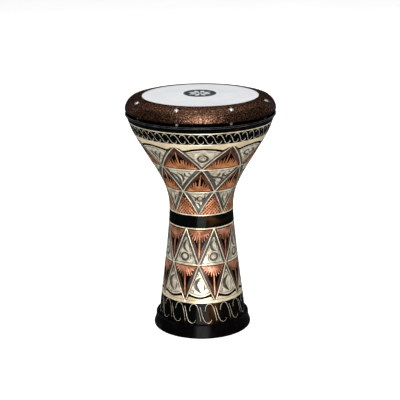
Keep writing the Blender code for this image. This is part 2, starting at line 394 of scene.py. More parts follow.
# Chisel strokes inside the silver triangles: (points in mm about the middle, widths in mm)
MOTIFS = {
    "spiral": [
        (circle(5.8, 110, 440, 18), (1.2, 2.2, 2.6, 2.2, 1.2)),
        (circle(2.0, -30, 190, 8, (0.5, -0.3)), (0.4, 0.8, 0.4)),
    ],
    "eye": [
        ([(-13, 6), (-7, 3), (-1, -7), (1, -12)], (0.8, 2.0, 2.2, 0.8)),
        ([(-6, 7), (-1, 2), (3, -5)], (0.8, 2.4, 0.8)),
        ([(10, 7), (6, 1), (2, -9)], (0.8, 2.0, 0.8)),
        (circle(3.0, 60, 300, 9, (4.0, 4.0)), (0.6, 1.8, 0.6)),
    ],
    "trefoil": [
        (circle(3.6, 20, 320, 11, (-5.5, 3.5)), (0.8, 2.2, 2.4, 0.8)),
        (circle(3.4, 200, 500, 11, (4.0, 4.5)), (0.8, 2.2, 2.4, 0.8)),
        (circle(3.2, -80, 210, 11, (-0.5, -4.5)), (0.8, 2.2, 2.2, 0.8)),
        ([(9, 7), (11, 3), (9, 0)], (0.6, 1.6, 0.6)),
    ],
    "leaves": [
        ([(-14, 7), (-8, 4), (-3, -3), (-1, -13)], (1.0, 2.8, 3.2, 1.0)),
        ([(-5, 9), (1, 4), (3, -3), (1, -9)], (0.8, 2.4, 2.2, 0.6)),
        ([(5, 9), (5, 4), (10, 2)], (0.8, 2.4, 0.8)),
        ([(10, 9), (13, 6)], (1.4, 0.6)),
    ],
    "blobs": [
        ([(-14, 7), (-10, 2), (-5, 1), (-2, 4), (-2, 9)], (0.8, 2.6, 2.2, 2.4, 0.8)),
        ([(-6, -1), (2, -1), (5, -6), (2, -13)], (1.0, 2.8, 2.6, 0.8)),
        ([(5, 9), (3, 4), (7, 1), (11, 4)], (0.8, 2.6, 2.6, 0.8)),
        ([(-7, -3), (-4, -7)], (2.0, 0.8)),
        ([(10, 9), (14, 7)], (1.6, 0.6)),
    ],
    "bead": [
        (circle(3.9, 60, 410, 13, (2.0, 2.5)), (1.0, 2.0, 2.2, 1.0)),
        ([(-8, 8), (-4, 4), (-5, -1)], (0.8, 2.6, 0.8)),
        ([(9, 8), (8, 3), (5, -4)], (0.8, 2.2, 0.8)),
        ([(-4, -4), (0, -6), (1, -12)], (0.8, 2.2, 0.8)),
    ],
    "pod": [
        ([(-5, 8), (-6, 2), (-1, -8)], (0.8, 2.2, 0.8)),
        ([(3, 9), (4, 2), (1, -6)], (0.8, 2.6, 0.8)),
        ([(8, 8), (7, 3)], (1.6, 0.6)),
    ],
    "drop": [
        (circle(6.0, 100, 455, 16, (0, -12.5)), (1.8, 2.8, 2.8, 1.8)),
        ([(1, 17), (-3, 9), (-2, 1), (5, -4)], (0.8, 3.0, 3.2, 0.8)),
        ([(3, 15), (6, 8), (6, 1)], (0.6, 1.8, 0.6)),
        ([(-1, 22), (2, 21)], (1.8, 1.2)),
        ([(-8, -6), (-10, -13), (-8, -19)], (0.5, 1.4, 0.5)),
        ([(9, -8), (10, -14), (8, -19)], (0.5, 1.4, 0.5)),
    ],
    "moon": [
        ([(3, 13), (-5, 5), (-6, -5), (4, -15)], (0.6, 4.0, 4.6, 0.8)),
        ([(8, 1), (9, -6), (6, -13)], (0.6, 1.5, 0.6)),
        ([(-3, 19), (0, 15)], (1.6, 0.6)),
        ([(-11, -10), (-10, -15)], (1.4, 0.6)),
    ],
}


def motif(drawing, name, centre, scale=1.0, turn=0.0):
    rotation = np.array([[cos(turn), sin(turn)], [-sin(turn), cos(turn)]])
    for points, widths in MOTIFS[name]:
        line = placed(centre, curve(np.array(points, float) @ rotation, 2), scale)
        drawing.cut(line, [width * 0.0015 * scale for width in widths], GOUGE, 0.00060)


def row_line(drawing, height, width=LINE_WIDTH):
    drawing.cut([(-0.15, height), (1.15, height)], [width, width], CUT)


def legs(drawing, triangle):
    for side in (-1, 1):
        drawing.cut(triangle.line([(side, 0), (0, 1)]), [LINE_WIDTH, LINE_WIDTH], CUT)


def rope_band(drawing):
    """Thin S-strokes on black between two cream lines."""
    middle, half = (ROPE_TOP + ROPE_BOTTOM) / 2, (ROPE_TOP - ROPE_BOTTOM) / 2 - 0.0022
    pitch = 1 / ROPES_PER_UNIT
    shape = [(0.06, 0.48), (0.10, 0.80), (0.26, 0.98), (0.46, 0.94), (0.62, 0.64), (0.80, 0.16),
             (0.94, -0.30), (1.08, -0.72), (1.26, -0.97), (1.48, -0.92), (1.62, -0.66), (1.62, -0.38)]
    for i in range(-2, ROPES_PER_UNIT + 1):
        points = [((i - 0.20 + x) * pitch, middle + y * half) for x, y in shape]
        drawing.cut(curve(points, 3), mm(0.7, 0.9, 0.7, 0.55, 0.7, 0.9, 0.7), CUT, 0.00012)


def wave_band(drawing):
    """The loose loops on the black band above the foot."""
    low, high = FOOT_TOP + 0.0005, BAND_BOTTOM
    pitch = 1 / WAVES_PER_UNIT
    arch = [(0.00, 0.62), (0.04, 0.80), (0.15, 0.92), (0.30, 0.96), (0.45, 0.89), (0.56, 0.73),
            (0.64, 0.51), (0.73, 0.15)]
    bowl = [(-0.32, 0.82), (-0.24, 0.62), (-0.17, 0.40), (-0.08, 0.21), (0.03, 0.10), (0.17, 0.05),
            (0.32, 0.09), (0.42, 0.20)]
    for i in range(-1, WAVES_PER_UNIT + 1):
        for shape in (arch, bowl):
            points = [((i + 0.31 + x) * pitch, low + y * (high - low)) for x, y in shape]
            drawing.cut(curve(points, 4), mm(0.5, 0.7, 0.7, 0.55, 0.35), CUT, 0.00010)


def top_band(drawing, centre):
    """The bare band over the first row, arched between the copper tips by black crescents."""
    shoulder = 0.3540
    drawing.area([(centre - 0.5, ROPE_BOTTOM), (centre - 0.5, shoulder), (centre + 0.5, shoulder),
                  (centre + 0.5, ROPE_BOTTOM)], BAND)
    upper = [(0.50, 0.3654), (0.41, 0.3617), (0.34, 0.3585), (0.20, 0.3616), (0, 0.3633)]
    lower = [(0.50, 0.3500), (0.34, 0.3538), (0.20, 0.3576), (0, 0.3597)]
    mirror = [(-x, height) for x, height in reversed(upper[:-1])]
    top = curve(upper[2:] + mirror[:3], 5)
    crescent = [upper[0], upper[1], *map(tuple, top), mirror[-2], mirror[-1]]
    base = mirrored(lower)
    outline = crescent + [(-x, height) for x, height in base]
    drawing.area(shifted(centre, outline)[::-1], LACQUER)
    arch = curve(base[::-1], 5)
    field = [(x, height - 0.0006) for x, height in arch]
    drawing.area(shifted(centre, [(0, ROW_1), *reversed(field)]), FIELD)
    for drop, widths, material in ((0.0010, (1.4, 1.8, 1.4), CUT), (0.0026, (0.7, 1.1, 0.7), GOUGE)):
        line = [(centre + x, height - drop) for x, height in arch]
        drawing.cut(line, mm(*widths), material, 0.00030)


def low_band(drawing, centre):
    """The bare band under the last row, with scallops and black crescents over it."""
    drawing.area([(centre - 0.5, SCALLOP + 0.004), (centre - 0.5, BAND_BOTTOM),
                  (centre + 0.5, BAND_BOTTOM), (centre + 0.5, SCALLOP + 0.004)], BAND)
    dip = [(0.50, SCALLOP + 0.0110), (0.34, SCALLOP + 0.0040), (0.18, SCALLOP + 0.0002),
           (0, SCALLOP - 0.0012)]
    edge = curve(mirrored(dip), 5)
    below = [(0.50, LOW_APEX), (0.44, SCALLOP - 0.0080), (0.36, SCALLOP - 0.0026),
             (0.17, SCALLOP - 0.0050), (0, SCALLOP - 0.0066)]
    under = curve(mirrored(below), 4)
    drawing.area(shifted(centre, [*edge, *under[::-1]]), LACQUER)
    drawing.area(shifted(centre, [(0, ROW_3), *edge[::-1]]), FIELD)


def scallop_lines(drawing, centre):
    dip = [(0.40, SCALLOP + 0.0064), (0.30, SCALLOP + 0.0028), (0.16, SCALLOP), (0, SCALLOP - 0.0012)]
    edge = curve(mirrored(dip), 5)
    drawing.cut(shifted(centre, edge), mm(1.5, 1.7, 1.5), CUT)
    inner = [(centre + x, height + 0.0026) for x, height in edge[2:-2]]
    drawing.cut(inner, mm(0.7, 1.4, 0.7), GOUGE, 0.00030)


def lattice(drawing, triangle, rng):
    """Crossing copper chisel strokes that leave dark diamonds between them."""
    drawing.area(triangle.line([(-1, 0), (1, 0), (0, 1)]), BROWN)
    corners = [(-0.86, 0.04), (0.86, 0.04), (0.0, 0.80)]
    drawing.area(triangle.line(corners), LACQUER)
    for lean in (-0.96, 0.96):
        for offset in np.arange(-2.0, 2.01, 0.25):
            offset = offset + rng.uniform(-0.012, 0.012)
            ends = clipped((offset - lean, -0.05), (offset + lean, 1.05), corners)
            if ends is not None:
                drawing.cut(triangle.line(ends), mm(1.9, 2.3, 1.9), COPPER, 0.00030)


def draw_unit(unit):
    """All the engraving of one eighth of the shell, its own u running from 0 to 1."""
    drawing = Drawing()
    whole, half = (0, 1), (-0.5, 0.5, 1.5)

    def rng(row, centre):
        return np.random.default_rng(1000 * row + int(2 * (unit + centre)) % (2 * UNITS))

    def decorate(row, names, triangle, height, scale, sway):
        """One of the named motifs, taken in turn round the drum and turned by a little."""
        name = names[int(unit + triangle.centre + 0.5) % len(names)]
        turn = rng(row, triangle.centre).uniform(-sway, sway)
        motif(drawing, name, triangle.middle(height), scale, turn)

    def silver_row(row, centres, base, tip, border, inner_line, top_line, names, height, scale, sway):
        edge, level, middle_width = top_line
        for centre in centres:
            silver = Triangle(centre, base, tip)
            silver_ground(drawing, silver, border, inner_line)
            drawing.cut(silver.line([(-edge, level), (edge, level)]), mm(0.8, middle_width, 0.8), GOUGE)
            decorate(row, names, silver, height, scale, sway)

    def copper_row(row, centres, base, tip, border, tips, share, plume, bend, heel):
        for centre in centres:
            copper = Triangle(centre, base, tip)
            copper_ground(drawing, copper, border)
            palmette(drawing, copper, tips, share, plume, rng(row, centre).uniform(*bend), heel,
                     rng(row + 1, centre))

    for centre in half:
        top_band(drawing, centre)
        low_band(drawing, centre)

    for centre in half:
        borders = Triangle(centre, APEX_LINE, ROW_1)
        for side in (-1, 1):
            edge = [(side * 0.78, 0.22), (0, 1), (0, 0.86), (side * 0.64, 0.22)]
            drawing.area(borders.line(edge), GOUGE)
            hatch(drawing, borders, side, 0.13, 0.04, GREY_HATCH, 0.03, 0.80)
        field = Triangle(centre, 0.3535, ROW_1)
        decorate(1, ["eye", "spiral", "trefoil", "leaves"], field, 0.32, 1.30, 0.15)
    copper_row(2, whole, ROW_1, APEX_LINE, 0.27,
               [(0.74, 0.12), (0.66, 0.20), (0.57, 0.27), (0.47, 0.33), (0.36, 0.38), (0.25, 0.43),
                (0.13, 0.46)], 0.80, 0.78, (-0.05, 0.02), (0.05, 0.50))
    silver_row(4, whole, ROW_1, ROW_2, 0.27, False, (0.86, 0.07, 1.2),
               ["leaves", "blobs", "eye", "trefoil"], 0.36, 1.30, 0.15)
    copper_row(5, half, ROW_2, ROW_1, 0.27,
               [(0.68, 0.14), (0.59, 0.24), (0.48, 0.33), (0.36, 0.40), (0.21, 0.45)],
               0.66, 0.80, (-0.02, 0.03), (0.05, 0.52))
    silver_row(7, half, ROW_2, WAIST_TOP, 0.29, False, (0.84, 0.08, 1.2),
               ["pod", "bead", "pod", "blobs"], 0.36, 1.15, 0.15)
    for centre in whole:
        lattice(drawing, Triangle(centre, WAIST_TOP, ROW_2), rng(8, centre))

    silver_row(9, whole, ROW_3, WAIST_BOTTOM, 0.20, True, (0.84, 0.05, 1.3), ["drop"], 0.42, 1.08, 0.10)
    copper_row(10, half, WAIST_BOTTOM, ROW_3, 0.26,
               [(0.74, 0.12), (0.66, 0.20), (0.52, 0.27), (0.36, 0.32), (0.19, 0.35)],
               0.36, 0.80, (-0.02, 0.02), (0.05, 0.56))
    for centre in half:
        silver = Triangle(centre, SCALLOP, ROW_3)
        for side in (-1, 1):
            edge = [(side, 0), (0, 1), (0, 0.79), (side * 0.79, 0)]
            drawing.area(silver.line(edge), GOUGE)
            hatch(drawing, silver, side, 0.18, 0.05, GREY_HATCH, 0.02)
        decorate(12, ["moon"], silver, 0.36, 1.08, 0.12)
        scallop_lines(drawing, centre)
    copper_row(13, whole, ROW_3, LOW_APEX, 0.26,
               [(0.74, 0.10), (0.66, 0.17), (0.53, 0.24), (0.37, 0.29), (0.19, 0.32)],
               0.36, 0.82, (-0.02, 0.02), (0.04, 0.56))

    for centre in whole:
        legs(drawing, Triangle(centre, ROW_1, APEX_LINE))
        legs(drawing, Triangle(centre, WAIST_TOP, ROW_2))
        legs(drawing, Triangle(centre, ROW_3, WAIST_BOTTOM))
        legs(drawing, Triangle(centre, ROW_3, LOW_APEX))
    for centre in half:
        legs(drawing, Triangle(centre, ROW_2, ROW_1))
    for height in (ROW_1, ROW_2, ROW_3):
        row_line(drawing, height)
    row_line(drawing, ROPE_TOP, 0.0018)
    row_line(drawing, ROPE_BOTTOM + 0.0004)
    row_line(drawing, WAIST_TOP, 0.0020)
    row_line(drawing, WAIST_BOTTOM, 0.0020)
    drawing.cut([(-0.15, 0.0690), (1.15, 0.0690)], mm(0.7, 0.7), GOUGE, 0.00020)
    row_line(drawing, BAND_BOTTOM)
    rope_band(drawing)
    wave_band(drawing)
    return drawing


def inside(points, outline):
    """Which points lie inside an outline, which may cross itself (winding number)."""
    x, y = points[:, 0][:, None], points[:, 1][:, None]
    start, end = outline, np.roll(outline, -1, axis=0)
    turn = (end[:, 0] - start[:, 0]) * (y - start[:, 1]) - (x - start[:, 0]) * (end[:, 1] - start[:, 1])
    up = (start[:, 1] <= y) & (end[:, 1] > y) & (turn > 0)
    down = (start[:, 1] > y) & (end[:, 1] <= y) & (turn < 0)
    return up.sum(1) != down.sum(1)


def groove_depth(points, cuts):
    """How deep the cuts go at each point, measured in metres below the wall."""
    depth = np.zeros(len(points))
    across, up = surface_scale(points[:, 1])
    for line, half, deepest in cuts:
        reach = half.max()
        margin = np.array([reach / 0.035, reach])
        near = np.flatnonzero(
            (points >= line.min(0) - margin).all(1) & (points <= line.max(0) + margin).all(1)
        )
        if not len(near):
            continue
        scale = np.column_stack([across[near], up[near]])[:, None, :]
        start = (line[None, :-1] - points[near][:, None]) * scale
        along = (line[1:] - line[:-1])[None] * scale
        t = np.clip(-(start * along).sum(2) / np.maximum((along**2).sum(2), 1e-18), 0, 1)
        gap = np.linalg.norm(start + along * t[..., None], axis=2)
        width = half[:-1] + (half[1:] - half[:-1]) * t
        floor = deepest[:-1] + (deepest[1:] - deepest[:-1]) * t
        here = (floor * np.clip(1 - gap / np.maximum(width, 1e-9), 0, 1)).max(1)
        depth[near] = np.maximum(depth[near], here)
    return depth


def linked(name, data):
    obj = bpy.data.objects.new(name, data)
    bpy.context.scene.collection.objects.link(obj)
    return obj


def new_object(name, mesh, body, replaced):
    obj = linked(name, mesh)
    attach(obj, body)
    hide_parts(*replaced)
    return obj


def engraved_stave(unit, materials):
    """One eighth of the wall with its engraving, as a mesh whose edges follow every line drawn."""
    drawing = draw_unit(unit)
    rows = ceil((WALL_TOP - SHELL_BOTTOM) / GRID_STEP)
    heights = np.linspace(SHELL_BOTTOM, WALL_TOP, rows + 1)
    across = np.linspace(0, 1, GRID_ACROSS + 1)
    for u in (0.0, 1.0):
        drawing.chain(np.column_stack([np.full(rows + 1, u), heights]), False)
    for height in (SHELL_BOTTOM, WALL_TOP):
        drawing.chain(np.column_stack([across, np.full(GRID_ACROSS + 1, height)]), False)
    grid = [(u, height) for height in heights[1:-1] for u in across[1:-1]]
    drawing.points.extend(grid)
    points, faces = drawing.triangles([UNIT * FLAT_RADIUS, 1.0])
    middles = points[faces].mean(1)
    keep = (middles[:, 0] > 0) & (middles[:, 0] < 1)
    keep &= (middles[:, 1] > SHELL_BOTTOM) & (middles[:, 1] < WALL_TOP)
    faces, middles = faces[keep], middles[keep]
    used, faces = np.unique(faces, return_inverse=True)
    points, faces = points[used], faces.reshape(-1, 3)

    paint = np.full(len(faces), LACQUER)
    for outline, material in drawing.areas:
        box = (middles >= outline.min(0)).all(1) & (middles <= outline.max(0)).all(1)
        near = np.flatnonzero(box)
        if len(near):
            paint[near[inside(middles[near], outline)]] = material

    depth = groove_depth(points, drawing.cuts)
    height = points[:, 1]
    flat_angle = (unit + points[:, 0] - 0.5) * UNIT
    turn = np.radians(np.interp(height, WANDER[:, 0], WANDER[:, 1]))
    spread = np.interp(height, WANDER[:, 0], WANDER[:, 2])
    angle = flat_angle + turn + spread * np.sin(flat_angle)
    radius, slope = radius_at(height), slope_at(height)
    stretch = np.sqrt(1 + slope**2)
    sine, cosine = np.sin(angle), np.cos(angle)
    normal = np.column_stack([sine, -cosine, -slope]) / stretch[:, None]
    around = np.column_stack([cosine, sine, np.zeros_like(sine)])
    upward = np.column_stack([sine * slope, -cosine * slope, np.ones_like(sine)]) / stretch[:, None]
    place = np.column_stack([radius * sine, -radius * cosine, height]) - normal * depth[:, None]

    # Slope of the groove walls inside each triangle, in the wall's own directions
    x = (points[:, 0][faces] - points[:, 0][faces][:, :1]) * UNIT * radius[faces].mean(1)[:, None]
    y = (height[faces] - height[faces][:, :1]) * stretch[faces].mean(1)[:, None]
    drop = -(depth[faces] - depth[faces][:, :1])
    area = x[:, 1] * y[:, 2] - x[:, 2] * y[:, 1]
    area = np.where(np.abs(area) < 1e-14, 1e-14, area)
    lean_x = (drop[:, 1] * y[:, 2] - drop[:, 2] * y[:, 1]) / area
    lean_y = (drop[:, 2] * x[:, 1] - drop[:, 1] * x[:, 2]) / area
    lean = np.column_stack([lean_x, lean_y])
    lean /= np.maximum(np.linalg.norm(lean, axis=1), 1.0)[:, None]
    loops = normal[faces] - lean[:, :1, None] * around[faces] - lean[:, 1:, None] * upward[faces]
    loops /= np.linalg.norm(loops, axis=2)[..., None]

    mesh = bpy.data.meshes.new(f"shell_engraving_{unit + 1}")
    mesh.from_pydata(place.tolist(), [], faces.tolist())
    for material in materials:
        mesh.materials.append(material)
    mesh.polygons.foreach_set("material_index", paint.astype(np.int32))
    mesh.normals_split_custom_set(loops.reshape(-1, 3).tolist())
    mesh.update()
    return new_object(mesh.name, mesh, "shell", ["shell"])


# ---------------------------------------------------------------- materials


def node(tree, kind, inputs=None, **settings):
    """A shader node with its settings, its inputs set to values or linked to other nodes."""
    made = tree.nodes.new("ShaderNode" + kind)
    for name, value in settings.items():
        setattr(made, name, value)
    for name, value in (inputs or {}).items():
        if isinstance(value, bpy.types.NodeSocket):
            tree.links.new(value, made.inputs[name])
        else:
            made.inputs[name].default_value = value
    return made


def ramp(tree, factor, stops):
    """A colour ramp through (position, (r, g, b)) stops."""
    made = node(tree, "ValToRGB", {"Fac": factor})
    elements = made.color_ramp.elements
    while len(elements) < len(stops):
        elements.new(0.5)
    for element, (position, colour) in zip(elements, stops):
        element.position = position
        element.color = (*colour, 1.0)
    return made.outputs["Color"]


def place_of(tree, stretch=(1, 1, 1)):
    """The point on the object at rest, stretched for brushed or streaky grain."""
    source = node(tree, "TexCoord").outputs["Object"]
    if stretch == (1, 1, 1):
        return source
    return node(tree, "Mapping", {"Vector": source, "Scale": stretch}).outputs["Vector"]


def noise(tree, scale, detail=4.0, roughness=0.55, distortion=0.0, stretch=(1, 1, 1)):
    return node(
        tree,
        "TexNoise",
        {
            "Vector": place_of(tree, stretch),
            "Scale": scale,
            "Detail": detail,
            "Roughness": roughness,
            "Distortion": distortion,
        },
    ).outputs["Fac"]


def ranged(tree, value, low, high, start=0.3, end=0.7):
    return node(
        tree,
        "MapRange",
        {"Value": value, "From Min": start, "From Max": end, "To Min": low, "To Max": high},
    ).outputs["Result"]


def maths(tree, operation, *values):
    return node(tree, "Math", dict(enumerate(values)), operation=operation).outputs[0]


def axis_of(tree, axis):
    return node(tree, "SeparateXYZ", {"Vector": place_of(tree)}).outputs[axis]


def bump(tree, height, strength, distance, below=None):
    inputs = {"Height": height, "Strength": strength, "Distance": distance}
    if below is not None:
        inputs["Normal"] = below
    return node(tree, "Bump", inputs).outputs["Normal"]


def material(name, constants, build):
    """A Principled material: constants on its sockets, and a function that links the rest."""
    made = bpy.data.materials.new(name)
    made.use_nodes = True
    tree = made.node_tree
    shader = tree.nodes["Principled BSDF"]
    for key, value in constants.items():
        shader.inputs[key].default_value = value
    for key, socket in build(tree).items():
        tree.links.new(socket, shader.inputs[key])
    return made


def surface(colour, stops, rough, *reliefs):
    """Nodes of a surface whose colour, roughness and reliefs each follow a noise of their own.

    `colour` is a noise, `rough` its lowest and highest value and a noise, and a relief its strength,
    its distance and a noise. A noise is given by the arguments of noise() after the tree.
    """

    def build(tree):
        normal = None
        for strength, distance, *grain in reliefs:
            normal = bump(tree, noise(tree, *grain), strength, distance, normal)
        low, high, *grain = rough
        return {
            "Base Color": ramp(tree, noise(tree, *colour), stops),
            "Roughness": ranged(tree, noise(tree, *grain), low, high),
            "Normal": normal,
        }

    return build


def metal(low, high, *grain):
    return surface((150.0, 5.0, 0.6), [(0.35, low), (0.70, high)], (0.20, 0.40, 260.0, 4.0),
                   (0.18, 0.0003, *grain))


def ink(low, high):
    return surface((180.0, 5.0, 0.7), [(0.35, low), (0.75, high)], (0.34, 0.48, 90.0, 3.0),
                   (0.12, 0.0003, 1200.0, 2.0))


TURNED = (30.0, 3.0, 0.6, 0.0, (1, 1, 40))
PLATED = (1200.0, 3.0, 0.6)

# Chiselled metal, slightly tarnished
cut_nodes = surface(
    (90.0, 4.0),
    [(0.35, (0.44, 0.38, 0.25)), (0.55, (0.66, 0.60, 0.45)), (0.75, (0.80, 0.76, 0.63))],
    (0.28, 0.46, 300.0, 3.0), (0.15, 0.0003, 900.0, 2.0))

# Copper left dark under thin lacquer, scored by the hatching
brown_nodes = surface(
    (70.0, 5.0, 0.65),
    [(0.32, (0.026, 0.0120, 0.0080)), (0.52, (0.074, 0.0310, 0.0190)), (0.75, (0.180, 0.0740, 0.0380))],
    (0.32, 0.56, 240.0, 4.0), (0.30, 0.0006, 340.0, 3.0, 0.6, 0.0, (1, 1, 3)))

# Deep strokes that hold dark patina, with metal shining through on their sides
gouge_nodes = surface(
    (130.0, 5.0, 0.65),
    [(0.32, (0.022, 0.021, 0.017)), (0.52, (0.056, 0.053, 0.042)), (0.75, (0.150, 0.142, 0.112))],
    (0.34, 0.58, 260.0, 4.0), (0.30, 0.0006, 420.0, 3.0))

# Bare band, turned smooth: fine rings round the drum and a warm tarnish
band_nodes = surface(
    (16.0, 5.0, 0.6, 0.3),
    [(0.32, (0.46, 0.35, 0.21)), (0.52, (0.66, 0.53, 0.34)), (0.72, (0.80, 0.69, 0.49))],
    (0.26, 0.44, 150.0, 4.0), (0.25, 0.0004, 30.0, 3.0, 0.6, 0.0, (1, 1, 60)))

# Painted highlight: lacquer coloured as grey metal on the flange's rounded edges, standing in for light
# reflected along them
edge_highlight_nodes = surface(
    (90.0, 5.0, 0.7),
    [(0.35, (0.020, 0.021, 0.020)), (0.55, (0.090, 0.092, 0.088)), (0.75, (0.260, 0.235, 0.215))],
    (0.28, 0.46, 200.0, 4.0), (0.2, 0.0003, 700.0, 2.0))

# Moulded black foot ring, glossy and lightly scuffed
foot_nodes = surface(
    (26.0, 5.0, 0.65), [(0.50, (0.0008, 0.0008, 0.0009)), (0.85, (0.0060, 0.0035, 0.0020))],
    (0.14, 0.28, 55.0, 6.0, 0.7), (0.08, 0.0005, 500.0, 2.0))

# Sand-cast aluminium, rough and grey
cast_nodes = surface(
    (60.0, 6.0, 0.7), [(0.30, (0.20, 0.20, 0.195)), (0.70, (0.42, 0.42, 0.41))],
    (0.48, 0.70, 130.0, 4.0), (0.55, 0.0009, 600.0, 4.0, 0.7))

# White polyester head with a faint cloudiness and a fine matt grain
film_nodes = surface(
    (14.0, 4.0), [(0.35, (0.630, 0.632, 0.640)), (0.65, (0.670, 0.671, 0.678))],
    (0.30, 0.44, 50.0, 4.0), (0.12, 0.0003, 1200.0, 2.0))


def lacquer_nodes(tree):
    """Black lacquer with faint orange peel and rubbing marks, brown in random patches, and with a warm
    brown strip painted near x = 13 mm as a painted reflection of light.
    """
    # Painted reflection: a warm brown strip down the lacquer near x = 13 mm, front and back, standing in
    # for the glow of light on it.
    glow_middle, glow_reach = 0.013, 0.022
    from_glow = maths(tree, "ABSOLUTE", maths(tree, "SUBTRACT", axis_of(tree, "X"), glow_middle))
    painted_glow = ranged(tree, from_glow, 0.16, 0.0, 0.0, glow_reach)
    wear_and_glow = maths(tree, "ADD", noise(tree, 16.0, 4.0, 0.6, 0.6), painted_glow)
    colour = ramp(tree, wear_and_glow, [(0.58, (0.0008, 0.0011, 0.0009)), (0.68, (0.0060, 0.0030, 0.0013)),
                               (0.84, (0.0360, 0.0160, 0.0055))])
    rubbed = ranged(tree, noise(tree, 38.0, 6.0, 0.65), 0.11, 0.22)
    peel = bump(tree, noise(tree, 420.0, 2.0), 0.06, 0.0006)
    swell = bump(tree, noise(tree, 60.0, 2.0), 0.10, 0.0010, peel)
    return {"Base Color": colour, "Roughness": rubbed, "Normal": swell}


def field_nodes(tree):
    """Bare metal dressed with a flat chisel: bright, warm and lightly faceted."""
    patch = noise(tree, 95.0, 6.0, 0.68, 0.4)
    colour = ramp(tree, patch, [(0.36, (0.26, 0.21, 0.14)), (0.48, (0.54, 0.46, 0.33)),
                                (0.60, (0.74, 0.68, 0.55)), (0.72, (0.92, 0.89, 0.82))])
    rough = ranged(tree, noise(tree, 220.0, 4.0), 0.30, 0.52)
    strokes = bump(tree, noise(tree, 160.0, 3.0, 0.6, 0.0, (1, 1, 4)), 0.35, 0.0008)
    facets = node(tree, "TexVoronoi", {"Vector": place_of(tree), "Scale": 380.0}).outputs["Distance"]
    return {"Base Color": colour, "Roughness": rough, "Normal": bump(tree, facets, 0.22, 0.0005, strokes)}


def copper_nodes(tree):
    """Copper plating, rubbed brighter on some strokes: rose below the waist and orange above it."""
    rubbed = noise(tree, 55.0, 5.0, 0.6)
    orange = ramp(tree, rubbed, [(0.34, (0.26, 0.080, 0.020)), (0.50, (0.52, 0.185, 0.058)),
                                 (0.62, (0.66, 0.280, 0.110)), (0.76, (0.82, 0.460, 0.260))])
    rose = ramp(tree, rubbed, [(0.34, (0.20, 0.066, 0.027)), (0.48, (0.42, 0.165, 0.078)),
                               (0.60, (0.60, 0.300, 0.180)), (0.74, (0.84, 0.560, 0.420))])
    share = ranged(tree, axis_of(tree, "Z"), 0.0, 1.0, 0.20, 0.30)
    colour = node(tree, "MixRGB", {"Fac": share, "Color1": rose, "Color2": orange}).outputs["Color"]
    rough = ranged(tree, noise(tree, 200.0, 4.0), 0.26, 0.46)
    grain = bump(tree, noise(tree, 500.0, 3.0), 0.20, 0.0004)
    return {"Base Color": colour, "Roughness": rough, "Normal": grain}


def hammertone_nodes(tree):
    """Copper hammertone paint: fine pooled cells, darker in their seams, in a soft mottle."""
    wobble = noise(tree, 260.0, 2.0)
    reach = {"X": 0.0020, "Y": -0.0016, "Z": 0.0018}
    shift = {axis: maths(tree, "MULTIPLY", wobble, most) for axis, most in reach.items()}
    shift = node(tree, "CombineXYZ", shift).outputs[0]
    moved = node(tree, "VectorMath", {0: place_of(tree), 1: shift}, operation="ADD").outputs[0]
    cells = node(tree, "TexVoronoi", {"Vector": moved, "Scale": 600.0, "Smoothness": 0.4},
                 feature="SMOOTH_F1").outputs["Distance"]
    mottle = noise(tree, 430.0, 4.0, 0.6, 0.3)
    pooled = maths(tree, "MULTIPLY_ADD", cells, -0.30, mottle)
    colour = ramp(tree, pooled, [(0.22, (0.012, 0.006, 0.004)), (0.36, (0.062, 0.028, 0.015)),
                                 (0.50, (0.170, 0.088, 0.054)), (0.64, (0.520, 0.380, 0.300))])
    rough = ranged(tree, mottle, 0.24, 0.34)
    relief = bump(tree, cells, 0.40, 0.0005)
    return {"Base Color": colour, "Roughness": rough, "Normal": bump(tree, mottle, 0.15, 0.0005, relief)}


def floor_nodes(tree):
    stops = [(0.3, (0.86, 0.86, 0.86)), (0.7, (0.89, 0.89, 0.89))]
    return {"Base Color": ramp(tree, noise(tree, 3.0, 3.0), stops)}


# ---------------------------------------------------------------- turned parts


def rounded(outline, closed, default=0.0005, steps=3):
    """The outline with its corners rounded. A point may carry its own radius as a third number."""
    line = []
    count = len(outline)
    for i, point in enumerate(outline):
        here = np.array(point[:2], float)
        if not closed and i in (0, count - 1):
            line.append(here)
            continue
        before, after = np.array(outline[i - 1][:2]) - here, np.array(outline[(i + 1) % count][:2]) - here
        reach_before, reach_after = np.linalg.norm(before), np.linalg.norm(after)
        before, after = before / reach_before, after / reach_after
        if before @ after < -0.985:
            line.append(here)
            continue
        radius = point[2] if len(point) > 2 else default
        size = min(radius, 0.45 * reach_before, 0.45 * reach_after)
        for t in np.linspace(0, 1, steps + 1):
            line.append(here + before * size * (1 - t) ** 2 + after * size * t**2)
    return np.array(line)


def round_ring(centre, radius, angles, heights):
    x, y = centre[0] + radius * np.cos(angles), centre[1] + radius * np.sin(angles)
    return np.column_stack([x, y, heights])


